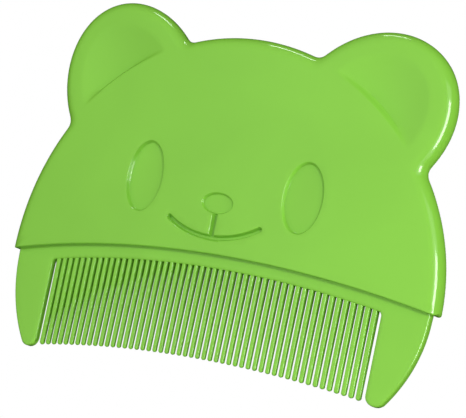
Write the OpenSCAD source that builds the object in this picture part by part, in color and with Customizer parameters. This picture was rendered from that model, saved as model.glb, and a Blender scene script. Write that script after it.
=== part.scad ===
// Bear-head flea comb: a hollow handle (front shell and back cover) that holds a separate comb blade.
//
// Frame: the comb lies on its back. +X runs to the right of the face, +Y runs from the teeth to the ears, and
// +Z is the way the face looks. The origin is the middle of the footprint, at the lowest edge of the back.
// Heights along Y are first counted from "gauge", a line a little above the tips of the middle teeth, and
// lift_y() moves everything so that the footprint is centred.
// The whole comb is bowed about an axis along Y: its middle stands higher in Z than its two sides.

/* [Fine teeth] */
// Distance between the middles of two neighbouring fine teeth, on average
tooth_pitch = 1.417; // [1.36:0.001:1.42]
// Number of fine teeth
tooth_count = 51; // [41:2:51]
// How much closer than the average the middle teeth stand, so that the outer ones stand wider apart
tooth_spread = 0.03; // [0:0.005:0.05]
// Width of the middle fine teeth
tooth_w = 0.8; // [0.6:0.02:0.84]
// Width of the outermost fine teeth
tooth_end_w = 1.0; // [0.7:0.05:1.15]
// How far the front of a fine tooth lies below the front of the blade at its root
tooth_set = 0.3; // [0.1:0.05:0.5]
// How much deeper than that the front lies at the tip
tip_set = 0.2; // [0:0.05:0.3]
// Depth of a fine tooth at its tip, front to back
tooth_tip_d = 1.05; // [0.6:0.05:1.2]
// How far the tip line of the middle teeth lies below the gauge line
tip_drop = 1.15; // [0.8:0.05:1.5]
// Radius of the arc that the tips lie on
tip_r = 269; // [240:1:300]
// Height of the tooth roots at the middle, above the gauge line
root_y = 17.2; // [16.5:0.1:17.6]
// Radius of the arc that the roots lie on
root_r = 233; // [225:1:250]

/* [Blade] */
// Thickness of the blade
blade_t = 2.0; // [1.7:0.05:2.1]
// Clear space between the outer fine teeth and the guard teeth
guard_gap = 0.9; // [0.8:0.05:1]
// Radius of the outer edge of a guard tooth
guard_r = 32.5; // [32.5:0.1:33]
// Distance from the middle to the centre of that radius
guard_cx = 13.65; // [13.4:0.05:13.65]
// Height of the centre of that radius above the gauge line
guard_cy = 15.05; // [14.5:0.05:15.5]
// Radius of the tip of a guard tooth
guard_tip_r = 2.0; // [1.6:0.1:2.2]
// How far the blade's tongue reaches into the head, above the lip
tongue_h = 8.5; // [7:0.5:9]

/* [Head] */
// Radius of the crown between the ears
crown_r = 45.5; // [45:0.1:46]
// Height of the centre of the crown above the gauge line
crown_cy = 19.0; // [18.5:0.1:19.5]
// Radius of the cheeks, which run into the crown
cheek_r = 48.5; // [48.4:0.1:49]
// Angle above level at which cheek and crown meet
cheek_angle = 74.6; // [70:0.1:78]
// Height of the lip at the middle, above the gauge line
lip_y = 19.8; // [19.6:0.1:20.2]
// Radius of the arc of the lip
lip_r = 255; // [245:1:265]
// Thickness of the head over its front wall and cover
head_t = 4.6; // [4.5:0.1:5]
// Thickness of the front wall of the head
front_wall = 1.55; // [1.5:0.05:1.7]
// Thickness of the side wall of the head, which is how far the lip overhangs the blade
side_wall = 1.4; // [1.3:0.05:1.5]
// Outer radius of the bow of the whole comb
bow_r = 181; // [170:1:200]

/* [Ears] */
// Distance from the middle to the centre of an ear
ear_cx = 26.4; // [26:0.1:27]
// Height of the centre of an ear above the gauge line
ear_cy = 51.6; // [51:0.1:52]
// Half of the long axis of an ear
ear_long = 19.25; // [18.5:0.05:19.5]
// Half of the short axis of an ear
ear_short = 15.7; // [15:0.05:16]
// Angle of the long axis above level
ear_tilt = 53; // [48:1:58]
// Distance from the edge of an ear to the dish in its face
ear_rim = 4.9; // [4:0.1:5.5]
// Depth of the dish at its deepest
dish_depth = 1.7; // [1:0.1:1.8]
// How far inside the edge of the face the step of the dish lies
dish_step = 0.9; // [0.5:0.1:1]

/* [Face] */
// Distance from the middle to the centre of an eye
eye_cx = 17.6; // [17:0.1:18]
// Height of the centre of an eye above the gauge line
eye_cy = 33.6; // [33:0.1:34]
// Half of the width of an eye
eye_rx = 4.1; // [3.5:0.1:4.5]
// Half of the height of an eye
eye_ry = 7.3; // [6.5:0.1:7.5]
// Height of the centre of the nose above the gauge line
nose_cy = 30.0; // [29.5:0.1:30.5]
// Half of the width of the nose
nose_rx = 3.4; // [3:0.1:3.8]
// Half of the height of the nose
nose_ry = 2.15; // [1.8:0.05:2.4]
// Half of the width of the mouth
mouth_x = 10.0; // [9:0.1:10.5]
// Height of the ends of the mouth above the gauge line
mouth_end_y = 26.0; // [25.6:0.1:26.4]
// Height of the middle of the mouth above the gauge line
mouth_mid_y = 23.0; // [22.6:0.1:23.4]
// Width of the mouth groove and of the line from nose to mouth
groove_w = 1.1; // [0.8:0.05:1.2]
// Depth of the eyes
eye_depth = 0.9; // [0.5:0.05:1]
// Depth of the nose
nose_depth = 0.7; // [0.4:0.05:0.9]
// Depth of the mouth and of the line above it
mouth_depth = 1.0; // [0.5:0.05:1]

/* [Fit inside the head] */
// Radius of the pegs on the back cover
peg_r = 1.5; // [1.2:0.05:1.6]
// Clearance round the pegs and the edge of the cover
play = 0.1; // [0.05:0.01:0.15]
// Wall of the sockets that the upper pegs press into
socket_wall = 1.1; // [0.9:0.1:1.3]

/* [Hidden] */
$fn = 96;

plastic = "#8ccf4c";
// Half of the size of a shape that has to reach past the whole comb
beyond = 120;
// How far a cutting shape reaches past the surface it cuts
clear = 1;
// How far two solids that are joined run into each other
sliver = 0.01;

// Fine teeth and the gap on their outer side
row_half = (tooth_count - 1) / 2 * tooth_pitch;
guard_in = row_half + tooth_end_w / 2 + guard_gap;

// Cheek circles, placed so that they run smoothly into the crown circle
cheek_step = cheek_r - crown_r;
cheek_cx = -cheek_step * cos(cheek_angle);
cheek_cy = crown_cy - cheek_step * sin(cheek_angle);
half_w = cheek_cx + cheek_r;

// Depths below the face, along the normal of the bow
cover_near = front_wall + blade_t;
bow_back_r = bow_r - head_t;

// The face's highest line, when the lowest edges of the back are at Z = 0
top_z = head_t + bow_back_r - sqrt(bow_back_r * bow_back_r - half_w * half_w);
bow_cz = top_z - bow_r;

// Centre of a guard tooth's tip, which touches the inner edge and the outer arc
guard_tip_x = guard_in + guard_tip_r;
guard_tip_run = guard_r - guard_tip_r;
guard_tip_y = guard_cy - sqrt(pow(guard_tip_run, 2) - pow(guard_tip_x - guard_cx, 2));

// Footprint along Y, from the guard tips to the tops of the ears
ear_reach = sqrt(pow(ear_long * sin(ear_tilt), 2) + pow(ear_short * cos(ear_tilt), 2));
low_y = guard_tip_y - guard_tip_r;
high_y = ear_cy + ear_reach;
shift_y = -(low_y + high_y) / 2;

// Places of the pegs, above the gauge line: the upper ones meet sockets, the lower ones pass through the blade
upper_pegs = [[0, 56], [-30, 41], [30, 41]];
lower_pegs = [[-29, 22], [0, 24], [29, 22]];

// Radius of the arc of the mouth
mouth_r = (pow(mouth_x, 2) + pow(mouth_end_y - mouth_mid_y, 2)) / (2 * (mouth_end_y - mouth_mid_y));

// ---- shared shapes ----

// Moves a shape from the gauge line to the part's frame
module lift_y() {
    translate([0, shift_y, 0]) children();
}

// The space between two depths below the bowed face
module bow(near, far) {
    translate([0, 0, bow_cz])
        rotate([90, 0, 0])
            difference() {
                cylinder(r = bow_r - near, h = 2 * beyond, center = true, $fn = 360);
                cylinder(r = bow_r - far, h = 2 * (beyond + clear), center = true, $fn = 360);
            }
}

// A flat outline, cut out of the bowed sheet between two depths
module bowed(near, far) {
    intersection() {
        bow(near, far);
        translate([0, 0, -clear])
            linear_extrude(height = top_z + 3 * clear)
                lift_y()
                    children();
    }
}

module both_sides() {
    children();
    mirror([1, 0]) children();
}

// Points along an arc
function arc_points(centre, r, from, to, steps) =
    [for (i = [0 : steps]) centre + r * [cos(from + (to - from) * i / steps), sin(from + (to - from) * i / steps)]];

// An upright or tilted ellipse
module oval(rx, ry, points = 72) {
    polygon([for (i = [0 : points - 1]) [rx * cos(i * 360 / points), ry * sin(i * 360 / points)]]);
}

// Everything below the lip, as one large disc
module below_lip() {
    translate([0, lip_y - lip_r]) circle(r = lip_r, $fn = 360);
}

// Everything below the roots of the fine teeth
module below_roots() {
    translate([0, root_y - root_r]) circle(r = root_r, $fn = 360);
}

// ---- outlines of the head ----

// Crown and cheeks, drawn in by inset
module face_disc(inset = 0) {
    translate([0, crown_cy]) circle(r = crown_r - inset, $fn = 180);
    intersection() {
        translate([cheek_cx, cheek_cy]) circle(r = cheek_r - inset, $fn = 180);
        translate([-cheek_cx, cheek_cy]) circle(r = cheek_r - inset, $fn = 180);
        translate([-beyond, -beyond]) square([2 * beyond, beyond + crown_cy + crown_r * sin(cheek_angle)]);
    }
}

module ear(inset = 0) {
    translate([ear_cx, ear_cy])
        rotate(ear_tilt)
            oval(ear_long - inset, ear_short - inset);
}

module head_outline() {
    difference() {
        union() {
            face_disc();
            both_sides() ear();
        }
        below_lip();
    }
}

// The hollow inside the side wall, open at the lip
module hollow_outline(inset = 0) {
    face_disc(side_wall + inset);
}

// ---- face ----

module eyes() {
    both_sides()
        translate([eye_cx, eye_cy])
            oval(eye_rx, eye_ry, 60);
}

module nose() {
    translate([0, nose_cy]) oval(nose_rx, nose_ry, 48);
}

// A groove along an arc, with round ends
module smile() {
    centre = [0, mouth_mid_y + mouth_r];
    half_angle = asin(mouth_x / mouth_r);
    ends = [for (side = [1, -1]) centre + mouth_r * [side * sin(half_angle), -cos(half_angle)]];
    // How far each round end is drawn to either side of its point
    end_turn = 60;
    polygon(concat(
        arc_points(centre, mouth_r + groove_w / 2, 270 - half_angle, 270 + half_angle, 24),
        arc_points(ends[0], groove_w / 2, half_angle - end_turn, half_angle + end_turn, 6),
        arc_points(centre, mouth_r - groove_w / 2, 270 + half_angle, 270 - half_angle, 24),
        arc_points(ends[1], groove_w / 2, 180 - half_angle - end_turn, 180 - half_angle + end_turn, 6)
    ));
}

// The line from the nose down to the mouth
module nose_line() {
    // Height at which the sides of the line meet the edge of the nose
    meet_y = nose_cy - nose_ry * sqrt(1 - pow(groove_w / 2 / nose_rx, 2));
    translate([-groove_w / 2, mouth_mid_y]) square([groove_w, meet_y + sliver - mouth_mid_y]);
}

// A shallow ball-shaped dish in the face of one ear, cut off a little inside the edge of the face
module ear_dish() {
    reach = (ear_long + ear_short) / 2 - ear_rim;
    ball_r = (pow(reach, 2) + pow(dish_depth, 2)) / (2 * dish_depth);
    lean = asin(ear_cx / bow_r);
    intersection() {
        translate([ear_cx, ear_cy + shift_y, bow_cz + sqrt(bow_r * bow_r - ear_cx * ear_cx)])
            rotate([0, lean, 0])
                translate([0, 0, ball_r - dish_depth]) sphere(r = ball_r, $fn = 120);
        translate([0, 0, -clear])
            linear_extrude(height = top_z + 3 * clear)
                lift_y()
                    difference() {
                        ear(ear_rim / 2);
                        face_disc(dish_step);
                    }
    }
}

// ---- blade ----

// One guard tooth with its end of the tongue, on the right
module guard_outline() {
    tip_dir = [guard_tip_x - guard_cx, guard_tip_y - guard_cy] / guard_tip_run;
    translate([guard_tip_x, guard_tip_y]) circle(r = guard_tip_r, $fn = 48);
    intersection() {
        translate([guard_cx, guard_cy]) circle(r = guard_r, $fn = 180);
        polygon([
            [guard_in, lip_y],
            [guard_in, guard_tip_y],
            [guard_tip_x, guard_tip_y],
            [guard_tip_x, guard_tip_y] + 2 * guard_tip_r * tip_dir,
            [guard_in + guard_r, guard_tip_y],
            [guard_in + guard_r, lip_y]
        ]);
    }
    intersection() {
        hollow_outline(play);
        translate([guard_in, guard_cy]) square([guard_r, lip_y + tongue_h / 2 - guard_cy]);
    }
}

// Rounds the corner between a guard tooth and the spine
module corner_fillet() {
    corner_y = root_y - root_r + sqrt(root_r * root_r - guard_in * guard_in);
    difference() {
        translate([guard_in - guard_gap, corner_y - guard_gap]) square([guard_gap, 2 * guard_gap]);
        translate([guard_in - guard_gap, corner_y - guard_gap]) circle(r = guard_gap, $fn = 48);
    }
}

// The band that carries the teeth, and the tongue above it
module spine_outline() {
    difference() {
        intersection() {
            translate([-guard_in, 0]) square([2 * guard_in, lip_y + tongue_h]);
            translate([0, tongue_h]) below_lip();
        }
        below_roots();
    }
    both_sides()
        intersection() {
            corner_fillet();
            below_roots();
        }
}

// One fine tooth in side view, with a round tip. The front of the blade is at height 0.
module tooth_side(tip_y) {
    end_r = tooth_tip_d / 2;
    end_mid = -tooth_set - tip_set - end_r;
    translate([tip_y + end_r, end_mid]) circle(r = end_r, $fn = 24);
    polygon([
        [tip_y + end_r, end_mid - end_r],
        [root_y + clear, -blade_t],
        [root_y + clear, -tooth_set],
        [tip_y + end_r, end_mid + end_r]
    ]);
}

// ---- sub-parts ----

module head_shell() {
    color(plastic) {
        difference() {
            bowed(0, head_t) head_outline();
            bowed(front_wall, head_t + clear) hollow_outline();
            bowed(-clear, eye_depth) eyes();
            bowed(-clear, nose_depth) nose();
            bowed(-clear, mouth_depth) smile();
            bowed(-clear, mouth_depth) nose_line();
            ear_dish();
            mirror([1, 0, 0]) ear_dish();
        }
        // Posts with sockets for the upper pegs of the cover
        bowed(front_wall - sliver, cover_near)
            for (spot = upper_pegs)
                translate(spot)
                    difference() {
                        circle(r = peg_r + play + socket_wall, $fn = 48);
                        circle(r = peg_r + play, $fn = 48);
                    }
    }
}

module back_cover() {
    color(plastic) {
        bowed(cover_near, head_t)
            difference() {
                hollow_outline(play);
                below_lip();
            }
        // Pegs: the upper ones press into the shell's sockets, the lower ones pass through the blade
        bowed(front_wall, cover_near + sliver)
            for (spot = concat(upper_pegs, lower_pegs))
                translate(spot) circle(r = peg_r, $fn = 48);
    }
}

module comb_spine() {
    color(plastic)
        bowed(front_wall, cover_near)
            difference() {
                spine_outline();
                for (spot = lower_pegs)
                    translate(spot) circle(r = peg_r + play, $fn = 48);
            }
}

module guard_tooth() {
    color(plastic)
        bowed(front_wall, cover_near)
            guard_outline();
}

module right_guard_tooth() {
    guard_tooth();
}

module left_guard_tooth() {
    mirror([1, 0, 0]) guard_tooth();
}

module fine_teeth() {
    blade_r = bow_r - front_wall;
    color(plastic)
        intersection() {
            for (i = [0 : tooth_count - 1]) {
                // Place in the row, from -1 to 1
                t = 2 * i / (tooth_count - 1) - 1;
                x = row_half * ((1 - tooth_spread) * t + tooth_spread * pow(t, 3));
                width = tooth_w + (tooth_end_w - tooth_w) * pow(abs(t), 3);
                tip_y = -tip_drop - tip_r + sqrt(tip_r * tip_r - x * x);
                translate([x, shift_y, bow_cz + sqrt(blade_r * blade_r - x * x)])
                    rotate([90, 0, 90])
                        linear_extrude(height = width, center = true)
                            tooth_side(tip_y);
            }
            linear_extrude(height = top_z + 3 * clear)
                lift_y()
                    below_roots();
        }
}

head_shell();
back_cover();
comb_spine();
left_guard_tooth();
right_guard_tooth();
fine_teeth();
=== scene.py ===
import math

import bpy
import numpy as np
from mathutils import Matrix, Vector
from mathutils.geometry import delaunay_2d_cdt


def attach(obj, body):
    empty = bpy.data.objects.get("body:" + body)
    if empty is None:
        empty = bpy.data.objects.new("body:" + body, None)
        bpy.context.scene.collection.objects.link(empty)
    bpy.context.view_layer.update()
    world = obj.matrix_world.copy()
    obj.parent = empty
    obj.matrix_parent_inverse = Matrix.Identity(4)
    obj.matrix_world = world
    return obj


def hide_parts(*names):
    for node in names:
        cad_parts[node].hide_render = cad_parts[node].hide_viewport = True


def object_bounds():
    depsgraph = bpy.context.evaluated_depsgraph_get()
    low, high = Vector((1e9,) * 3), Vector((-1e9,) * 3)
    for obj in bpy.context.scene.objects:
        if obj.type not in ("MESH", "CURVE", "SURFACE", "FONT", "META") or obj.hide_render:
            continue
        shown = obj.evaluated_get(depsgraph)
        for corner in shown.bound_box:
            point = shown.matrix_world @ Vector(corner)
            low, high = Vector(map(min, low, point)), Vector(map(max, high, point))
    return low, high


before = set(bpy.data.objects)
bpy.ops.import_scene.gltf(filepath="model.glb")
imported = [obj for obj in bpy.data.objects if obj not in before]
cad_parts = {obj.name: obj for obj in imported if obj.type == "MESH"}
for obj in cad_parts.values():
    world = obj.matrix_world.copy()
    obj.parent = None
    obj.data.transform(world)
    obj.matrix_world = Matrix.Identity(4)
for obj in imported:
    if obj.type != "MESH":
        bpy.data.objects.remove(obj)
cad_lo, cad_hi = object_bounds()

MM = 0.001

# ---- sizes of the comb, in millimetres ----
# X is counted from the middle, Y from the gauge line a little above the tips of the middle teeth, and
# depth from the bowed face.

# Row of fine teeth: mean pitch, number, widths in the middle and at the ends, and extra spread of the ends
PITCH, TEETH, TOOTH_W, END_W, SPREAD = 1.417, 51, 0.8, 1.0, 0.03
# Front of a tooth below the blade's front, what it gains at the tip, and the depth of the tip
TOOTH_SET, TIP_SET, TIP_DEPTH = 0.3, 0.2, 1.05
# Rounding of a tooth's corners, how far it reaches into the blade, and what it stays short of its CAD depth
TOOTH_CORNER, TOOTH_EMBED, TOOTH_SHY = 0.3, 0.9, 0.02
# Arcs of the tips and the roots
TIP_DROP, TIP_R = 1.15, 269.0
ROOT_Y, ROOT_R = 17.2, 233.0
# Blade and guard teeth
BLADE_T, GUARD_GAP, TONGUE_H = 2.0, 0.9, 8.5
GUARD_R, GUARD_C, GUARD_TIP_R = 32.5, (13.65, 15.05), 2.0
# Outline of the head
CROWN_R, CROWN_Y = 45.5, 19.0
CHEEK_R, CHEEK_ANGLE = 48.5, math.radians(74.6)
LIP_Y, LIP_R = 19.8, 255.0
EAR_C, EAR_LONG, EAR_SHORT, EAR_TILT = (26.4, 51.6), 19.25, 15.7, math.radians(53)
# Walls of the head
HEAD_T, FRONT_WALL, SIDE_WALL, PLAY = 4.6, 1.55, 1.4, 0.1
PEG_R, SOCKET_WALL = 1.5, 1.1
UPPER_PEGS = ((0, 56), (-30, 41), (30, 41))
LOWER_PEGS = ((-29, 22), (0, 24), (29, 22))
# Dish in an ear: its rim, its depth, where its step lies inside the face's edge, how early and over what
# width the step falls, and how softly the dish runs out
EAR_RIM, DISH_DEPTH, DISH_STEP = 4.9, 1.7, 0.9
STEP_EARLY, STEP_RUN, DISH_SOFT = 0.1, 1.3, 0.16
# Eyes, nose and mouth: places and sizes
EYE_C, EYE_RX, EYE_RY = (17.6, 33.6), 4.1, 7.3
NOSE_C, NOSE_RX, NOSE_RY = (0.0, 30.0), 3.4, 2.15
MOUTH_X, MOUTH_END_Y, MOUTH_MID_Y, GROOVE_W = 10.0, 26.0, 23.0, 1.1
# Depth of each, and how far its soft wall reaches outside and inside its outline
EYE_DEPTH, EYE_WALL = 0.85, (0.14, 0.38)
NOSE_DEPTH, NOSE_WALL = 0.7, (0.12, 0.3)
MOUTH_DEPTH, MOUTH_WALL = 1.0, (0.1, 0.36)
# How much deeper the middles of an eye and of the nose lie
EYE_HOLLOW, NOSE_HOLLOW = 0.1, 0.05
# What the line above the mouth stops short of the nose
LINE_SHORT = 0.3

# Rounded edges: face, back, lip in front and behind, blade, cover, and the bevel round the teeth
FACE_EDGE, BACK_EDGE, LIP_EDGE, LIP_BACK_EDGE = 2.5, 1.7, 0.3, 0.3
BLADE_EDGE, BLADE_REAR_SHARE, COVER_EDGE = 0.5, 0.6, 0.25
BEVEL_RUN, BEVEL_DROP = 0.85, 0.45
# Corners of the outline at the lip, fillet between head and ear, and slope and chamfer of the back's opening
LIP_CORNER, NOTCH_FILLET, WALL_DRAFT, OPENING_CHAMFER = 1.2, 1.6, 0.03, 0.15
# A length that doesn't show, for tests that lie on an edge
HAIR = 0.001
# How far apart two rows of points stand that make a wall look upright
WALL_GAP = 0.02

COVER_NEAR = FRONT_WALL + BLADE_T
CHEEK_STEP = CHEEK_R - CROWN_R
CHEEK_C = (-CHEEK_STEP * math.cos(CHEEK_ANGLE), CROWN_Y - CHEEK_STEP * math.sin(CHEEK_ANGLE))
ROW_HALF = (TEETH - 1) / 2 * PITCH
GUARD_IN = ROW_HALF + END_W / 2 + GUARD_GAP
MOUTH_R = (MOUTH_X ** 2 + (MOUTH_END_Y - MOUTH_MID_Y) ** 2) / (2 * (MOUTH_END_Y - MOUTH_MID_Y))

# The bow and the gauge line are placed by the frame's own box.
BOW_R = 181.0
BOW_Z = cad_hi.z / MM - BOW_R
EAR_REACH = math.hypot(EAR_LONG * math.sin(EAR_TILT), EAR_SHORT * math.cos(EAR_TILT))
SHIFT_Y = cad_hi.y / MM - EAR_C[1] - EAR_REACH


def place(x, y, depth):
    """Points in the part's frame, in metres, of plan points at a depth below the bowed face."""
    z = BOW_Z + np.sqrt((BOW_R - depth) ** 2 - x ** 2)
    return np.stack([x, y + SHIFT_Y, z], -1) * MM


# ---- distances in the plan, positive inside ----

def smooth(t):
    t = np.clip(t, 0, 1)
    return t * t * (3 - 2 * t)


def face_distance(x, y):
    """Distance inside the crown and the cheeks."""
    ax = np.abs(x)
    crown = CROWN_R - np.hypot(ax, y - CROWN_Y)
    cheek = CHEEK_R - np.hypot(ax - CHEEK_C[0], y - CHEEK_C[1])
    return np.where(np.arctan2(y - CROWN_Y, ax) > CHEEK_ANGLE, crown, cheek)


def ellipse_distance(x, y, centre, rx, ry, tilt=0.0):
    """Distance inside an ellipse, nearly, and the share of its radius at which a point lies."""
    dx, dy = x - centre[0], y - centre[1]
    u = dx * math.cos(tilt) + dy * math.sin(tilt)
    v = -dx * math.sin(tilt) + dy * math.cos(tilt)
    never_zero = 1e-9
    share = np.hypot(u / rx, v / ry) + never_zero
    slope = np.hypot(u / rx ** 2, v / ry ** 2) + never_zero
    return share * (1 - share) / slope, share


def ear_share(x, y):
    """The share of a dish's radius at which a point lies, in either ear."""
    return ellipse_distance(np.abs(x), y, EAR_C, EAR_LONG - EAR_RIM, EAR_SHORT - EAR_RIM, EAR_TILT)[1]


def ear_distance(x, y):
    return ellipse_distance(np.abs(x), y, EAR_C, EAR_LONG, EAR_SHORT, EAR_TILT)[0]


def union(a, b, fillet):
    """Two regions joined, with a fillet between them."""
    h = np.clip(fillet - np.abs(a - b), 0, None) / fillet
    return np.maximum(a, b) + h * h * fillet / 4


def outer_distance(x, y):
    return union(face_distance(x, y), ear_distance(x, y), NOTCH_FILLET)


def lip_distance(x, y):
    """Distance above the arc of the lip."""
    return np.hypot(x, y - LIP_Y + LIP_R) - LIP_R


def corner(a, b, radius):
    """The overlap of two regions, with its corners rounded."""
    u, v = np.clip(radius - a, 0, None), np.clip(radius - b, 0, None)
    return np.where((u > 0) & (v > 0), radius - np.hypot(u, v), np.minimum(a, b))


def quarter(distance, radius):
    """Depth of a rounded edge at a distance inside it."""
    run = np.clip(radius - distance, 0, radius)
    return radius - np.sqrt(np.clip(radius ** 2 - run ** 2, 0, None))


def rounded_top(outer, lip, edge, lip_edge):
    """Depth of a face whose outer edge is rounded, and which the lip cuts with a smaller round."""
    m = quarter(lip, lip_edge)
    run = np.clip(edge - outer, 0, None)
    inner = np.sqrt(np.clip((edge - m) ** 2 - run ** 2, 0, None))
    return np.where(outer < edge, edge - inner, m)


# ---- depth of the face ----

def recess(inside, depth, wall):
    """A hollow with a soft wall, which reaches a little outside and inside its outline."""
    outside_run, inside_run = wall
    return depth * smooth((inside + outside_run) / (outside_run + inside_run))


def hollowing(share):
    """1 in the middle of an ellipse, and 0 from its outline on."""
    return np.clip(1 - share ** 2, 0, None)


def mouth_distance(x, y):
    """Distance inside the groove of the mouth and the line above it."""
    cy = MOUTH_MID_Y + MOUTH_R
    half = math.asin(MOUTH_X / MOUTH_R)
    angle = np.clip(np.arctan2(x, cy - y), -half, half)
    arc = np.hypot(x - MOUTH_R * np.sin(angle), y - cy + MOUTH_R * np.cos(angle))
    stem = np.hypot(x, y - np.clip(y, MOUTH_MID_Y, NOSE_C[1] - NOSE_RY - LINE_SHORT))
    return GROOVE_W / 2 - np.minimum(arc, stem)


def ear_dish(x, y):
    bowl = DISH_DEPTH * (1 - ear_share(x, y) ** 2)
    eased = 0.5 * (bowl + np.sqrt(bowl ** 2 + DISH_SOFT ** 2))
    bowl = eased - DISH_SOFT ** 2 / 4 / (np.abs(bowl) + DISH_SOFT)
    step = smooth((DISH_STEP + STEP_EARLY - face_distance(x, y)) / STEP_RUN)
    return np.clip(bowl, 0, None) * step


def face_depth(x, y):
    depth = rounded_top(outer_distance(x, y), lip_distance(x, y), FACE_EDGE, LIP_EDGE)
    eye, share = ellipse_distance(np.abs(x), y, EYE_C, EYE_RX, EYE_RY)
    depth = depth + recess(eye, EYE_DEPTH, EYE_WALL) + EYE_HOLLOW * hollowing(share)
    nose, share = ellipse_distance(x, y, NOSE_C, NOSE_RX, NOSE_RY)
    sunk = recess(nose, NOSE_DEPTH, NOSE_WALL) + NOSE_HOLLOW * hollowing(share)
    groove = recess(mouth_distance(x, y), MOUTH_DEPTH, MOUTH_WALL)
    return depth + np.maximum(sunk, groove) + ear_dish(x, y)


def back_depth(x, y):
    """Underside of the head shell: its back, the hollow and the posts for the upper pegs."""
    base = HEAD_T - rounded_top(outer_distance(x, y), lip_distance(x, y), BACK_EDGE, LIP_BACK_EDGE)
    hollow = face_distance(x, y) - SIDE_WALL
    base = base - OPENING_CHAMFER * np.clip((hollow + OPENING_CHAMFER) / OPENING_CHAMFER, 0, 1)
    inside = np.full_like(x, FRONT_WALL)
    for px, py in UPPER_PEGS:
        r = np.hypot(x - px, y - py)
        post = (r > PEG_R + PLAY - HAIR) & (r < PEG_R + PLAY + SOCKET_WALL + HAIR)
        inside = np.where(post, COVER_NEAR, inside)
    return np.where(hollow > WALL_DRAFT / 2, inside, base)


# ---- contours and meshes ----

# A ray is searched between these distances from its centre, in even steps and then by halving
RAY_NEAR, RAY_FAR, RAY_STEPS, HALVINGS = 5, 60, 221, 40


def along_ray(distance, centre, angle, level):
    """Points on the rays from a centre where the distance falls to a level."""
    steps = np.linspace(RAY_NEAR, RAY_FAR, RAY_STEPS)
    reach = steps[:, None]
    inside = distance(centre[0] + reach * np.cos(angle), centre[1] + reach * np.sin(angle)) > level
    last = len(steps) - 1 - np.argmax(inside[::-1], 0)
    lo, hi = steps[last], steps[np.minimum(last + 1, len(steps) - 1)]
    for _ in range(HALVINGS):
        mid = (lo + hi) / 2
        more = distance(centre[0] + mid * np.cos(angle), centre[1] + mid * np.sin(angle)) > level
        lo, hi = np.where(more, mid, lo), np.where(more, hi, mid)
    mid = (lo + hi) / 2
    return np.stack([centre[0] + mid * np.cos(angle), centre[1] + mid * np.sin(angle)], -1)


def even_angles(distance, centre, spacing, turn, forced=()):
    """Ray angles spaced evenly along the contour, and closer where it turns. turn is in degrees."""
    rays = 7200
    angle = np.linspace(-math.pi, math.pi, rays + 1)[:-1]
    p = along_ray(distance, centre, angle, 0.0)
    step = np.roll(p, -1, 0) - p
    length = np.hypot(step[:, 0], step[:, 1])
    heading = np.arctan2(step[:, 1], step[:, 0])
    bend = np.abs((np.roll(heading, -1) - heading + math.pi) % (2 * math.pi) - math.pi)
    measure = np.concatenate([[0], np.cumsum(length / spacing + bend / math.radians(turn))])
    count = int(measure[-1])
    picks = np.interp(np.arange(count) * measure[-1] / count, measure, np.append(angle, math.pi))
    for f in forced:
        nearest = np.argmin(np.abs((picks - f + math.pi) % (2 * math.pi) - math.pi))
        picks[nearest] = f
    return np.sort(picks)


def offset_ellipse(centre, rx, ry, inset, count):
    """Points of an ellipse, drawn in by an inset."""
    t = np.arange(count) * 2 * math.pi / count
    n = np.stack([np.cos(t) / rx, np.sin(t) / ry], -1)
    n /= np.hypot(n[:, 0], n[:, 1])[:, None]
    return np.stack([rx * np.cos(t), ry * np.sin(t)], -1) - inset * n + np.array(centre)


def ring(centre, radius, count):
    t = np.arange(count) * 2 * math.pi / count
    return np.stack([centre[0] + radius * np.cos(t), centre[1] + radius * np.sin(t)], -1)


def thin(points, cell):
    """Drops points that share a cell with an earlier one."""
    _, first = np.unique(np.round(points / cell).astype(int), axis=0, return_index=True)
    return points[np.sort(first)]


def closed(points):
    return np.concatenate([points, points[:1]])


def hex_grid(x0, x1, y0, y1, spacing):
    """Points at the corners of nearly even triangles."""
    row_share = 0.866
    rows = []
    for j, y in enumerate(np.arange(y0, y1, spacing * row_share)):
        x = np.arange(x0, x1, spacing) + (spacing / 2 if j % 2 else 0)
        rows.append(np.stack([x, np.full_like(x, y)], -1))
    return np.concatenate(rows)


def fill(loops, lines, points, keep):
    """Triangles between loops, lines and loose points, and where each of their corners came from.

    The loops' points are counted first and in order."""
    tolerance = 1e-7
    coords, edges, start = [], [], 0
    for loop in loops:
        n = len(loop)
        edges += [(start + i, start + (i + 1) % n) for i in range(n)]
        coords.append(loop)
        start += n
    for path in lines:
        n = len(path)
        edges += [(start + i, start + i + 1) for i in range(n - 1)]
        coords.append(path)
        start += n
    coords = np.concatenate(coords + [points])
    made = delaunay_2d_cdt([Vector(c) for c in coords], edges, [], 0, tolerance)
    verts = np.array([tuple(v) for v in made[0]])
    tris = np.array([f for f in made[2] if len(f) == 3])
    mid = verts[tris].mean(1)
    tris = tris[keep(mid[:, 0], mid[:, 1])]
    return verts, tris, made[3]


def inside_polygon(poly):
    """A test for points inside a polygon, which works through them in blocks."""
    block = 4000

    def test(x, y):
        ax, ay = poly[:, 0], poly[:, 1]
        bx, by = np.roll(ax, -1), np.roll(ay, -1)
        crossed = np.zeros(len(x), int)
        for i in range(0, len(x), block):
            xs, ys = x[i:i + block, None], y[i:i + block, None]
            span = (ay > ys) != (by > ys)
            with np.errstate(divide="ignore", invalid="ignore"):
                at = ax + (ys - ay) * (bx - ax) / (by - ay)
            crossed[i:i + block] = (span & (xs < at)).sum(1)
        return crossed % 2 == 1
    return test


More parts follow.
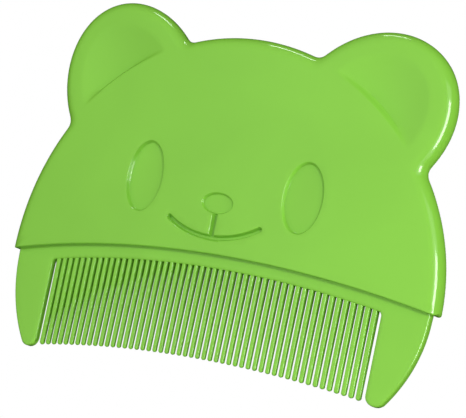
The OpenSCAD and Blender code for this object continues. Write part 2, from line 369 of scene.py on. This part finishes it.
class Skin:
    """Gathers points and faces of one closed mesh."""

    def __init__(self):
        self.points, self.faces, self.count = [], [], 0

    def add(self, xyz):
        first = self.count
        self.points.append(xyz)
        self.count += len(xyz)
        return np.arange(first, self.count)

    def strip(self, a, b):
        """Joins two closed rows of points."""
        for i in range(len(a)):
            j = (i + 1) % len(a)
            self.faces.append((a[i], a[j], b[j], b[i]))

    def sheet(self, loops, loop_ids, lines, points, keep, depth, up):
        """Fills the space between loops whose points are there already. up says which way the faces look."""
        verts, tris, origin = fill(loops, lines, points, keep)
        used = np.unique(tris)
        known = np.concatenate(loop_ids)
        index = np.full(len(verts), -1)
        fresh = []
        for v in used:
            source = [s for s in origin[v] if s < len(known)]
            if source:
                index[v] = known[source[0]]
            else:
                fresh.append(v)
        fresh = np.array(fresh, int)
        if len(fresh):
            x, y = verts[fresh, 0], verts[fresh, 1]
            index[fresh] = self.add(place(x, y, depth(x, y)))
        for a, b, c in tris:
            self.faces.append((index[a], index[b], index[c]) if up else (index[c], index[b], index[a]))

    def piece(self, name, material, nodes, sharp):
        """Makes the object, which rides on the body and stands in for its CAD nodes."""
        mesh = bpy.data.meshes.new(name)
        faces = [tuple(int(i) for i in face) for face in self.faces]
        mesh.from_pydata(np.concatenate(self.points).tolist(), [], faces)
        mesh.validate()
        mesh.shade_smooth()
        mesh.set_sharp_from_angle(angle=math.radians(sharp))
        mesh.materials.append(material)
        obj = bpy.data.objects.new(name, mesh)
        bpy.context.scene.collection.objects.link(obj)
        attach(obj, "root")
        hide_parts(*nodes)


def xyz(points, depth):
    return place(points[:, 0], points[:, 1], depth(points[:, 0], points[:, 1]))


# ---- materials ----

GREEN = (0.222, 0.555, 0.052)
# Noise scales for one metre, ramps of the noise, and how far each moves the look
FLOW_SCALE, FLOW_RAMP, FLOW_TINT = 38, (0.35, 0.65), 0.025
GRAIN_SCALE, GRAIN_RAMP, GRAIN_ROUGH = 900, (0.3, 0.7), (0.85, 1.2)
GRAIN_BUMP, GRAIN_HEIGHT = 0.05, 0.02 * MM
PLASTIC_IOR = 1.5


def plastic(name, roughness, seed):
    """Polished moulded plastic with faint flow marks and a fine grain. seed moves the pattern."""
    mat = bpy.data.materials.new(name)
    mat.use_nodes = True
    nodes, links = mat.node_tree.nodes, mat.node_tree.links
    nodes.clear()
    out = nodes.new("ShaderNodeOutputMaterial")
    bsdf = nodes.new("ShaderNodeBsdfPrincipled")
    links.new(bsdf.outputs[0], out.inputs[0])
    coord = nodes.new("ShaderNodeTexCoord")
    shift = nodes.new("ShaderNodeMapping")
    shift.inputs["Location"].default_value = (seed, seed * 0.7, seed * 0.3)
    links.new(coord.outputs["Object"], shift.inputs["Vector"])

    def noise(scale, detail, rough, distortion):
        n = nodes.new("ShaderNodeTexNoise")
        n.inputs["Scale"].default_value = scale
        n.inputs["Detail"].default_value = detail
        n.inputs["Roughness"].default_value = rough
        n.inputs["Distortion"].default_value = distortion
        links.new(shift.outputs[0], n.inputs["Vector"])
        return n.outputs["Fac"]

    def ramp(source, span, to):
        r = nodes.new("ShaderNodeMapRange")
        r.inputs["From Min"].default_value, r.inputs["From Max"].default_value = span
        r.inputs["To Min"].default_value, r.inputs["To Max"].default_value = to
        links.new(source, r.inputs["Value"])
        return r.outputs["Result"]

    # Pigment that isn't quite evenly mixed: a broad soft flow
    flow = noise(FLOW_SCALE, detail=2, rough=0.45, distortion=0.6)
    mix = nodes.new("ShaderNodeMix")
    mix.data_type = "RGBA"
    mix.inputs[6].default_value = (*[c * (1 - FLOW_TINT) for c in GREEN], 1)
    mix.inputs[7].default_value = (*[c * (1 + FLOW_TINT) for c in GREEN], 1)
    links.new(ramp(flow, FLOW_RAMP, (0, 1)), mix.inputs[0])
    links.new(mix.outputs[2], bsdf.inputs["Base Color"])
    # The fine grain of a polished mould, in gloss and in height
    grain = noise(GRAIN_SCALE, detail=3, rough=0.55, distortion=0.0)
    links.new(ramp(grain, GRAIN_RAMP, [roughness * g for g in GRAIN_ROUGH]), bsdf.inputs["Roughness"])
    bump = nodes.new("ShaderNodeBump")
    bump.inputs["Strength"].default_value = GRAIN_BUMP
    bump.inputs["Distance"].default_value = GRAIN_HEIGHT
    links.new(grain, bump.inputs["Height"])
    links.new(bump.outputs[0], bsdf.inputs["Normal"])
    bsdf.inputs["IOR"].default_value = PLASTIC_IOR
    return mat


shell_plastic = plastic("green_shell_plastic", roughness=0.1, seed=0.0)
cover_plastic = plastic("green_cover_plastic", roughness=0.18, seed=0.37)
blade_plastic = plastic("green_blade_plastic", roughness=0.12, seed=0.71)
tooth_plastic = plastic("green_tooth_plastic", roughness=0.12, seed=1.13)

# ---- head shell ----

# Middle of the rays that find the outlines
CENTRE = (0.0, 36.0)
# Sides, bottom and top of the field that loose points are laid in, and their spacing where nothing shows
FIELD, PLAIN_SPACING = (-50, 50, 10, 75), 2.4
# Sides of the rings of points round a bore in the shell, and of a peg and its hole in the blade
BORE_SIDES, PEG_SIDES = 40, 32


def shell_distance(x, y):
    return corner(outer_distance(x, y), lip_distance(x, y), LIP_CORNER)


def lip_crossing(inset):
    """Where the face's outline, drawn in, meets the lip on the right."""
    below_lip, halvings = 5.0, 60
    lo, hi = below_lip, CROWN_Y
    for _ in range(halvings):
        mid = (lo + hi) / 2
        x = CHEEK_C[0] + math.sqrt((CHEEK_R - inset) ** 2 - (mid - CHEEK_C[1]) ** 2)
        lo, hi = (mid, hi) if lip_distance(x, mid) < 0 else (lo, mid)
    return x, mid


def mouth_rows(run):
    """Rows of points at a distance from the middle of the mouth's groove and of the line above it."""
    arc_points, end_points, stem_spacing, into_nose = 100, 14, 0.15, 0.1
    half = math.asin(MOUTH_X / MOUTH_R)
    cy = MOUTH_MID_Y + MOUTH_R
    t = np.linspace(-half, half, arc_points)
    stem_y = np.arange(MOUTH_MID_Y + GROOVE_W / 2, NOSE_C[1] - NOSE_RY + into_nose, stem_spacing)
    sides = (-1, 1) if run else (1,)
    rows = [np.stack([(MOUTH_R + side * run) * np.sin(t), cy - (MOUTH_R + side * run) * np.cos(t)], -1)
            for side in sides]
    if run:
        turn = np.linspace(0, math.pi, end_points)[1:-1, None]
        for side in (-1, 1):
            end = np.array([side * MOUTH_R * math.sin(half), cy - MOUTH_R * math.cos(half)])
            along = np.array([side * math.cos(half), math.sin(half)])
            across = np.array([math.sin(half), -side * math.cos(half)])
            rows.append(end + run * (np.sin(turn) * along + np.cos(turn) * across))
    return rows + [np.stack([np.full_like(stem_y, side * run), stem_y], -1) for side in sides]


def face_features():
    """Points along the walls of the eyes, the nose and the mouth."""
    groups = []
    eye_points, nose_points, cell = 96, 60, 0.045
    insets = (-0.15, -0.1, -0.05, 0.0, 0.06, 0.12, 0.19, 0.27, 0.35, 0.5, 0.8, 1.3)
    for side in (-1, 1):
        for inset in insets:
            groups.append(offset_ellipse((side * EYE_C[0], EYE_C[1]), EYE_RX, EYE_RY, inset, eye_points))
    for inset in insets[:-2]:
        groups.append(offset_ellipse(NOSE_C, NOSE_RX, NOSE_RY, inset, nose_points))
    for run in (0.0, 0.1, 0.21, 0.28, 0.35, 0.42, 0.48, 0.54, 0.6, 0.66):
        groups += mouth_rows(run)
    return thin(np.concatenate(groups), cell)


def dish_steps():
    """Points along the step of each ear's dish, short of the ear's rounded edge."""
    insets = (0.12, 0.04, -0.04, -0.12, -0.21, -0.31, -0.42, -0.54, -0.67, -0.82, -0.97, -1.12, -1.3)
    first_angle, last_angle, angle_step = 14, 80, 0.5
    t = np.radians(np.arange(first_angle, last_angle, angle_step))
    clear_of_edge = FACE_EDGE + 0.3
    rows = []
    for side in (-1, 1):
        for inset in insets:
            r = CROWN_R - DISH_STEP - inset
            rows.append(np.stack([side * r * np.cos(t), CROWN_Y + r * np.sin(t)], -1))
    rows = np.concatenate(rows)
    return rows[ear_distance(rows[:, 0], rows[:, 1]) > clear_of_edge]


def in_dish(x, y):
    """Whether a point is in the dish of an ear, beyond its step."""
    past_step, reach = 1.6, 1.12
    return (ear_share(x, y) < reach) & (face_distance(x, y) < DISH_STEP - past_step)


def face_grid(rim):
    """Loose points for the face: a wide grid on the plain parts and a close one in the dishes."""
    wide_spacing, close_spacing, below_ears = 1.2, 0.6, 30
    wide = hex_grid(*FIELD, wide_spacing)
    close = hex_grid(FIELD[0], FIELD[1], below_ears, FIELD[3], close_spacing)
    x, y = wide[:, 0], wide[:, 1]
    eye, _ = ellipse_distance(np.abs(x), y, EYE_C, EYE_RX, EYE_RY)
    nose, _ = ellipse_distance(x, y, NOSE_C, NOSE_RX, NOSE_RY)
    # Each wall has rows of its own, and the wide grid keeps clear of them
    clear = (np.abs(eye - 0.3) > 0.85) & (np.abs(nose - 0.1) > 0.7) & (mouth_distance(x, y) < -0.5)
    beside_step = np.abs(face_distance(x, y) - DISH_STEP + 0.6) < 1.2
    clear &= ~beside_step | (ear_share(x, y) > 1.3)
    clear &= ~in_dish(x, y) & (shell_distance(x, y) > rim + wide_spacing / 2)
    x, y = close[:, 0], close[:, 1]
    return wide[clear], close[in_dish(x, y) & (shell_distance(x, y) > rim + close_spacing * 2 / 3)]


def head_shell():
    skin = Skin()
    cross_out, cross_in = lip_crossing(SIDE_WALL), lip_crossing(SIDE_WALL + WALL_DRAFT)
    forced = []
    for x, y in (cross_out, cross_in):
        for side in (-1, 1):
            forced.append(math.atan2(y - CENTRE[1], side * x - CENTRE[0]))
    angle = even_angles(shell_distance, CENTRE, spacing=0.6, turn=8, forced=forced)
    outline = along_ray(shell_distance, CENTRE, angle, 0.0)

    # Front: rings over the rounded edge, then the face
    levels = (0.0, 0.011, 0.035, 0.09, 0.16, 0.27, 0.38, 0.5, 0.7, 0.95, 1.25, 1.6, 2.0, FACE_EDGE)
    rings = [outline] + [along_ray(shell_distance, CENTRE, angle, v) for v in levels[1:]]
    ids = [skin.add(xyz(r, face_depth)) for r in rings]
    for a, b in zip(ids, ids[1:]):
        skin.strip(a, b)
    points = np.concatenate([face_features(), dish_steps(), *face_grid(levels[-1])])
    points = points[shell_distance(points[:, 0], points[:, 1]) > levels[-1] + 0.25]
    skin.sheet([rings[-1]], [ids[-1]], [], points, inside_polygon(rings[-1]), face_depth, True)

    # Back: one side wall down from the same outline, then the back, the hollow and the posts
    low = skin.add(xyz(outline, back_depth))
    skin.strip(low, ids[0])
    back_levels = (0.03, 0.1, 0.22, 0.4, 0.65, 1.0, BACK_EDGE)
    back = [along_ray(shell_distance, CENTRE, angle, v) for v in back_levels]
    lines, wall_points = [], 260
    for inset, (x, y) in ((SIDE_WALL, cross_out), (SIDE_WALL + WALL_DRAFT, cross_in)):
        def wall(px, py, inset=inset):
            return face_distance(px, py) - inset
        start = math.atan2(y - CENTRE[1], x - CENTRE[0])
        path = along_ray(wall, CENTRE, np.linspace(start, math.pi - start, wall_points), 0.0)
        path[0], path[-1] = [outline[np.argmin(np.hypot(outline[:, 0] - side * x, outline[:, 1] - y))]
                             for side in (1, -1)]
        lines.append(path)
    bore, post = PEG_R + PLAY, PEG_R + PLAY + SOCKET_WALL
    for spot in UPPER_PEGS:
        for radius in (bore, bore - WALL_GAP, post, post + WALL_GAP):
            lines.append(closed(ring(spot, radius, BORE_SIDES)))
    free = np.concatenate(back + [hex_grid(*FIELD, PLAIN_SPACING)])
    x, y = free[:, 0], free[:, 1]
    clear = (np.abs(face_distance(x, y) - SIDE_WALL) > 0.12) & (shell_distance(x, y) > 0.02)
    for px, py in UPPER_PEGS:
        clear &= np.hypot(x - px, y - py) > post + 0.5
    free = thin(free[clear], 0.12)
    skin.sheet([outline], [low], lines, free, inside_polygon(outline), back_depth, False)
    skin.piece("head_shell_moulding", shell_plastic, ["head_shell"], 35)


# ---- back cover ----

PEG_SHORT, PEG_CHAMFER = 0.02, 0.25


def cover_distance(x, y):
    return corner(face_distance(x, y) - SIDE_WALL - PLAY, lip_distance(x, y), LIP_BACK_EDGE)


def cover_inner_depth(x, y):
    """Front of the cover, with its pegs, which are chamfered and end just short of the front wall."""
    depth = np.full_like(x, COVER_NEAR)
    for px, py in UPPER_PEGS + LOWER_PEGS:
        r = np.hypot(x - px, y - py)
        peg = FRONT_WALL + PEG_SHORT + np.clip(r - PEG_R + PEG_CHAMFER, 0, None)
        depth = np.where(r < PEG_R + HAIR, peg, depth)
    return depth


def back_cover():
    skin = Skin()
    angle = even_angles(cover_distance, CENTRE, spacing=0.8, turn=9)

    def rear(x, y):
        return HEAD_T - quarter(cover_distance(x, y), COVER_EDGE)

    levels = (0.0, 0.02, 0.06, 0.13, COVER_EDGE)
    rings = [along_ray(cover_distance, CENTRE, angle, v) for v in levels]
    ids = [skin.add(xyz(r, rear)) for r in rings]
    for a, b in zip(ids, ids[1:]):
        skin.strip(b, a)
    grid = hex_grid(*FIELD, PLAIN_SPACING)
    grid = grid[cover_distance(grid[:, 0], grid[:, 1]) > 1.2]
    skin.sheet([rings[-1]], [ids[-1]], [], grid, inside_polygon(rings[-1]), rear, False)
    near = skin.add(xyz(rings[0], cover_inner_depth))
    skin.strip(ids[0], near)
    lines, clear = [], np.ones(len(grid), bool)
    for spot in UPPER_PEGS + LOWER_PEGS:
        for radius in (PEG_R + WALL_GAP, PEG_R, PEG_R - PEG_CHAMFER):
            lines.append(closed(ring(spot, radius, PEG_SIDES)))
        clear &= np.hypot(grid[:, 0] - spot[0], grid[:, 1] - spot[1]) > PEG_R + 0.6
    skin.sheet([rings[0]], [near], lines, grid[clear], inside_polygon(rings[0]), cover_inner_depth, True)
    skin.piece("back_cover_moulding", cover_plastic, ["back_cover"], 30)


# ---- blade ----

TONGUE_CORNER = 0.6


def arc(centre, radius, start, end, spacing):
    t = np.linspace(start, end, max(3, int(abs(end - start) * radius / spacing) + 1))
    return np.stack([centre[0] + radius * np.cos(t), centre[1] + radius * np.sin(t)], -1)


def line(a, b, spacing):
    a, b = np.array(a, float), np.array(b, float)
    return a + (b - a) * np.linspace(0, 1, max(2, int(np.hypot(*(b - a)) / spacing) + 1))[:, None]


def blade_outline():
    """The right half of the blade's outline, clockwise from the top of the tongue to the middle root."""
    root_c = (0.0, ROOT_Y - ROOT_R)
    tip_x = GUARD_IN + GUARD_TIP_R
    run = GUARD_R - GUARD_TIP_R
    tip = (tip_x, GUARD_C[1] - math.sqrt(run ** 2 - (tip_x - GUARD_C[0]) ** 2))
    lean = math.atan2(tip[1] - GUARD_C[1], tip[0] - GUARD_C[0])
    fillet_x = GUARD_IN - GUARD_GAP
    fillet = (fillet_x, root_c[1] + math.sqrt((ROOT_R - GUARD_GAP) ** 2 - fillet_x ** 2))
    fillet_end = math.atan2(fillet[1] - root_c[1], fillet[0])
    top_c, top_r = (0.0, LIP_Y - LIP_R + TONGUE_H), LIP_R
    top_end = math.asin((GUARD_IN - TONGUE_CORNER) / top_r)
    shoulder = LIP_Y + TONGUE_H / 2
    inner_r = CHEEK_R - SIDE_WALL - PLAY
    side_start = math.asin((shoulder - CHEEK_C[1]) / inner_r)
    side_end = math.asin((GUARD_C[1] - CHEEK_C[1]) / inner_r)
    side_top = (CHEEK_C[0] + inner_r * math.cos(side_start), shoulder)
    top_corner = (top_r * math.sin(top_end), top_c[1] + top_r * math.cos(top_end))
    # Neighbouring stretches end a little apart, so that no point is doubled
    gap = 0.3
    parts = [
        arc(top_c, top_r, math.pi / 2, math.pi / 2 - top_end, spacing=1.5),
        line((GUARD_IN, top_corner[1] - TONGUE_CORNER), (GUARD_IN, shoulder + gap), spacing=1.0),
        line((GUARD_IN + gap, shoulder), (side_top[0] - 0.4, shoulder), spacing=1.0),
        arc(CHEEK_C, inner_r, side_start - 0.01, side_end, spacing=0.8),
        arc(GUARD_C, GUARD_R, -0.02, lean, spacing=0.6),
        arc(tip, GUARD_TIP_R, lean, -math.pi, spacing=0.2),
        line((GUARD_IN, tip[1] + 0.5), (GUARD_IN, fillet[1] - gap), spacing=0.8),
        arc(fillet, GUARD_GAP, 0.0, fillet_end, spacing=0.15),
        arc(root_c, ROOT_R, fillet_end + 0.001, math.pi / 2, spacing=0.5),
    ]
    return np.concatenate(parts)


def comb_blade():
    skin = Skin()
    half = blade_outline()
    outline = np.concatenate([half, half[1:-1][::-1] * np.array([-1, 1])])
    ahead, behind = np.roll(outline, -1, 0) - outline, outline - np.roll(outline, 1, 0)
    ahead /= np.hypot(ahead[:, 0], ahead[:, 1])[:, None]
    behind /= np.hypot(behind[:, 0], behind[:, 1])[:, None]
    tangent = ahead + behind
    tangent /= np.hypot(tangent[:, 0], tangent[:, 1])[:, None]
    inward = np.stack([tangent[:, 1], -tangent[:, 0]], -1)
    turn = np.radians([90, 78, 66, 54, 42, 28, 14, 0])
    # The opening for the teeth has a wide bevel, and every other edge a small round
    between_guards = np.clip((GUARD_IN + 0.9 - np.abs(outline[:, 0])) / 0.8, 0, 1)
    comb_side = between_guards * np.clip((ROOT_Y + 0.5 - outline[:, 1]) / 0.5, 0, 1)
    run = BLADE_EDGE + (BEVEL_RUN - BLADE_EDGE) * comb_side
    drop = BLADE_EDGE + (BEVEL_DROP - BLADE_EDGE) * comb_side
    front, rear = [], []
    for k in turn:
        inner = outline + inward * (run * (1 - math.sin(k)))[:, None]
        front.append(skin.add(place(inner[:, 0], inner[:, 1], FRONT_WALL + drop * (1 - math.cos(k)))))
        inner_rear = outline + inward * (BLADE_EDGE * (1 - math.sin(k)))
        rear_depth = COVER_NEAR - BLADE_EDGE * BLADE_REAR_SHARE * (1 - math.cos(k))
        rear.append(skin.add(place(inner_rear[:, 0], inner_rear[:, 1], rear_depth)))
    for a, b in zip(front, front[1:]):
        skin.strip(b, a)
    for a, b in zip(rear, rear[1:]):
        skin.strip(a, b)
    skin.strip(front[0], rear[0])
    bore = PEG_R + PLAY
    holes = [ring(spot, bore, PEG_SIDES) for spot in LOWER_PEGS]
    grid = hex_grid(-48, 48, -6, 30, 1.5)
    inside, inside_rear = inside_polygon(inner), inside_polygon(inner_rear)
    flat_of_bore = bore * math.cos(math.pi / PEG_SIDES)

    def keep(x, y):
        kept = inside(x, y)
        for px, py in LOWER_PEGS:
            kept &= np.hypot(x - px, y - py) > flat_of_bore - 0.01
        return kept

    def keep_rear(x, y):
        return inside_rear(x, y) & (keep(x, y) | ~inside(x, y))

    apart = grid[:, None] - inner[None]
    near = np.min(np.hypot(apart[:, :, 0], apart[:, :, 1]), 1)
    grid = grid[keep(grid[:, 0], grid[:, 1]) & (near > 0.7)]
    for px, py in LOWER_PEGS:
        grid = grid[np.hypot(grid[:, 0] - px, grid[:, 1] - py) > PEG_R + 0.6]
    bores = []
    for depth, rim, loop, kept, up in ((FRONT_WALL, inner, front[-1], keep, True),
                                       (COVER_NEAR, inner_rear, rear[-1], keep_rear, False)):
        def flat(x, y, depth=depth):
            return np.full_like(x, depth)

        bores.append([skin.add(xyz(hole, flat)) for hole in holes])
        skin.sheet([rim] + holes, [loop] + bores[-1], [], grid, kept, flat, up)
    for a, b in zip(*bores):
        skin.strip(a, b)
    nodes = ["comb_spine", "left_guard_tooth", "right_guard_tooth"]
    skin.piece("comb_blade", blade_plastic, nodes, 35)


def tooth_section(half_w, half_d):
    """A rectangle with rounded corners, across the tooth and in depth."""
    most, corner_points = 0.95, 6
    radius = min(TOOTH_CORNER, half_w * most, half_d * most)
    points = []
    for across, deep, start in ((1, 1, 0), (-1, 1, 90), (-1, -1, 180), (1, -1, 270)):
        for a in np.radians(np.linspace(start, start + 90, corner_points)):
            points.append((across * (half_w - radius) + radius * math.cos(a),
                           deep * (half_d - radius) + radius * math.sin(a)))
    return np.array(points)


def fine_teeth():
    skin = Skin()
    root_depth = BLADE_T - TOOTH_SET
    tip_turns = np.radians([18, 36, 52, 66, 78])
    least, straight_rows = 0.05, 8
    for i in range(TEETH):
        t = 2 * i / (TEETH - 1) - 1
        cx = ROW_HALF * ((1 - SPREAD) * t + SPREAD * t ** 3)
        half_w = (TOOTH_W + (END_W - TOOTH_W) * abs(t) ** 3) / 2
        tip_y = -TIP_DROP - TIP_R + math.sqrt(TIP_R ** 2 - cx ** 2)
        root = ROOT_Y - ROOT_R + math.sqrt(ROOT_R ** 2 - cx ** 2)
        straight = np.linspace(root + TOOTH_EMBED, tip_y + half_w, straight_rows)
        end = tip_y + half_w - half_w * np.sin(tip_turns)
        rows = []
        for y in np.concatenate([straight, end]):
            h = np.clip((root - y) / (root - tip_y), 0, 1)
            near = FRONT_WALL + TOOTH_SET + TIP_SET * h
            depth = root_depth + (TIP_DEPTH - root_depth) * h - TOOTH_SHY
            below = max(0.0, tip_y + half_w - y) / half_w
            shrink = max(least, math.sqrt(max(0.0, 1 - below ** 2)))
            section = tooth_section(half_w * shrink, depth / 2 * shrink)
            section_y = np.full(len(section), y)
            rows.append(skin.add(place(cx + section[:, 0], section_y, near + depth / 2 - section[:, 1])))
        for a, b in zip(rows, rows[1:]):
            skin.strip(a, b)
        skin.faces.append(tuple(rows[0][::-1]))
        skin.faces.append(tuple(rows[-1]))
    skin.piece("fine_teeth_row", tooth_plastic, ["fine_teeth"], 50)


head_shell()
back_cover()
comb_blade()
fine_teeth()

# ---- floor, light and camera ----

def floor_material():
    """Plain white from above, and clear from below so that the back can be looked at."""
    mat = bpy.data.materials.new("pale_floor")
    mat.use_nodes = True
    nodes, links = mat.node_tree.nodes, mat.node_tree.links
    nodes.clear()
    out = nodes.new("ShaderNodeOutputMaterial")
    geo = nodes.new("ShaderNodeNewGeometry")
    clear = nodes.new("ShaderNodeBsdfTransparent")
    glow = nodes.new("ShaderNodeEmission")
    glow.inputs["Color"].default_value = (1, 1, 1, 1)
    glow.inputs["Strength"].default_value = 1.0
    mix = nodes.new("ShaderNodeMixShader")
    links.new(geo.outputs["Backfacing"], mix.inputs[0])
    links.new(glow.outputs[0], mix.inputs[1])
    links.new(clear.outputs[0], mix.inputs[2])
    links.new(mix.outputs[0], out.inputs[0])
    return mat


def pale_floor():
    half, z = 1.5, -0.5 * MM
    mesh = bpy.data.meshes.new("floor")
    corners = [(-half, -half, z), (half, -half, z), (half, half, z), (-half, half, z)]
    mesh.from_pydata(corners, [], [(0, 1, 2, 3)])
    mesh.materials.append(floor_material())
    floor = bpy.data.objects.new("floor", mesh)
    bpy.context.scene.collection.objects.link(floor)
    floor.visible_diffuse = False
    floor.visible_glossy = False
    floor.visible_shadow = False


pale_floor()

# Strength of the sky: how it grows along X, Y and Z, its middle and least values, and its share in
# reflections
SKY_SLOPE, SKY_LEVEL, SKY_LEAST, SKY_GLOSS = (0.02, 0.02, 0.6), 0.14, 0.0, 0.95


def studio_world():
    """A soft sky that is brightest above the face. The camera sees it as plain white."""
    world = bpy.data.worlds.new("studio")
    world.use_nodes = True
    nodes, links = world.node_tree.nodes, world.node_tree.links
    nodes.clear()
    out = nodes.new("ShaderNodeOutputWorld")
    coord = nodes.new("ShaderNodeTexCoord")
    slope = nodes.new("ShaderNodeVectorMath")
    slope.operation = "DOT_PRODUCT"
    slope.inputs[1].default_value = SKY_SLOPE
    links.new(coord.outputs["Generated"], slope.inputs[0])

    def math_node(operation, source, value):
        node = nodes.new("ShaderNodeMath")
        node.operation = operation
        node.inputs[1].default_value = value
        links.new(source, node.inputs[0])
        return node.outputs[0]

    level = math_node("MAXIMUM", math_node("ADD", slope.outputs["Value"], SKY_LEVEL), SKY_LEAST)
    soft, gloss = nodes.new("ShaderNodeBackground"), nodes.new("ShaderNodeBackground")
    links.new(level, soft.inputs["Strength"])
    links.new(math_node("MULTIPLY", level, SKY_GLOSS), gloss.inputs["Strength"])
    seen = nodes.new("ShaderNodeBackground")
    seen.inputs["Strength"].default_value = 1.0
    path = nodes.new("ShaderNodeLightPath")
    inner, outer = nodes.new("ShaderNodeMixShader"), nodes.new("ShaderNodeMixShader")
    links.new(path.outputs["Is Glossy Ray"], inner.inputs[0])
    links.new(soft.outputs[0], inner.inputs[1])
    links.new(gloss.outputs[0], inner.inputs[2])
    links.new(path.outputs["Is Camera Ray"], outer.inputs[0])
    links.new(inner.outputs[0], outer.inputs[1])
    links.new(seen.outputs[0], outer.inputs[2])
    links.new(outer.outputs[0], out.inputs["Surface"])
    bpy.context.scene.world = world


studio_world()
bpy.context.scene.view_settings.view_transform = "Standard"


def light(name, data, direction):
    """Aims a light at the comb from a direction."""
    obj = bpy.data.objects.new(name, data)
    obj.rotation_mode = "QUATERNION"
    obj.rotation_quaternion = (-Vector(direction)).to_track_quat("-Z", "Y")
    bpy.context.scene.collection.objects.link(obj)
    return obj


def strip(name, direction, length, width, power):
    """A softbox that only reflections show: it draws the highlights on the rounded edges."""
    distance = 0.9
    data = bpy.data.lights.new(name, "AREA")
    data.shape = "RECTANGLE"
    data.size, data.size_y = length, width
    data.energy = power
    direction = Vector(direction).normalized()
    obj = light(name, data, direction)
    obj.location = direction * distance
    obj.visible_diffuse = False


def sun(name, direction, energy, spread):
    """Soft parallel light that reflections don't show. spread is in degrees."""
    data = bpy.data.lights.new(name, "SUN")
    data.energy = energy
    data.angle = math.radians(spread)
    light(name, data, direction).visible_glossy = False


sun("key", (0.8, 0.35, 1.0), 1.2, 8)
sun("fill", (-0.75, 0.0, 1.0), 0.95, 60)
sun("side_key", (1.0, 0.45, 0.5), 0.42, 18)
sun("low_side", (1.0, -0.2, 0.02), 1.3, 10)
sun("low_front", (0.2, -1.0, 0.35), 0.35, 40)
strip("right_strip", (1.0, 0.06, 0.34), length=0.5, width=0.22, power=4.6)
strip("right_box", (1.0, 0.1, 0.42), length=0.9, width=0.5, power=1.8)
strip("top_strip", (-0.15, 1.0, 0.17), length=0.3, width=0.1, power=1.2)

# The view looks down on the face from its right and a little from its teeth's side, tilted by ROLL
VIEW_AZ, VIEW_EL, ROLL = math.radians(25.0), math.radians(-7.0865), math.radians(11.73)
AIM = Vector((3.652, -3.438, 11.173)) * MM
DISTANCE, LENS, SENSOR = 0.5248, 203.8, 36


def make_camera():
    level = math.cos(VIEW_EL)
    back = Vector((math.sin(VIEW_AZ) * level, math.sin(VIEW_EL), math.cos(VIEW_AZ) * level))
    right = (-back).cross(Vector((0, 1, 0))).normalized()
    up = right.cross(-back)
    cam_x = right * math.cos(ROLL) + up * math.sin(ROLL)
    cam_y = -right * math.sin(ROLL) + up * math.cos(ROLL)
    data = bpy.data.cameras.new("camera")
    data.lens, data.sensor_width = LENS, SENSOR
    data.clip_start, data.clip_end = 0.01, 10
    camera = bpy.data.objects.new("camera", data)
    basis = Matrix((cam_x, cam_y, back)).transposed().to_4x4()
    camera.matrix_world = Matrix.Translation(AIM + back * DISTANCE) @ basis
    bpy.context.scene.collection.objects.link(camera)
    bpy.context.scene.camera = camera


make_camera()
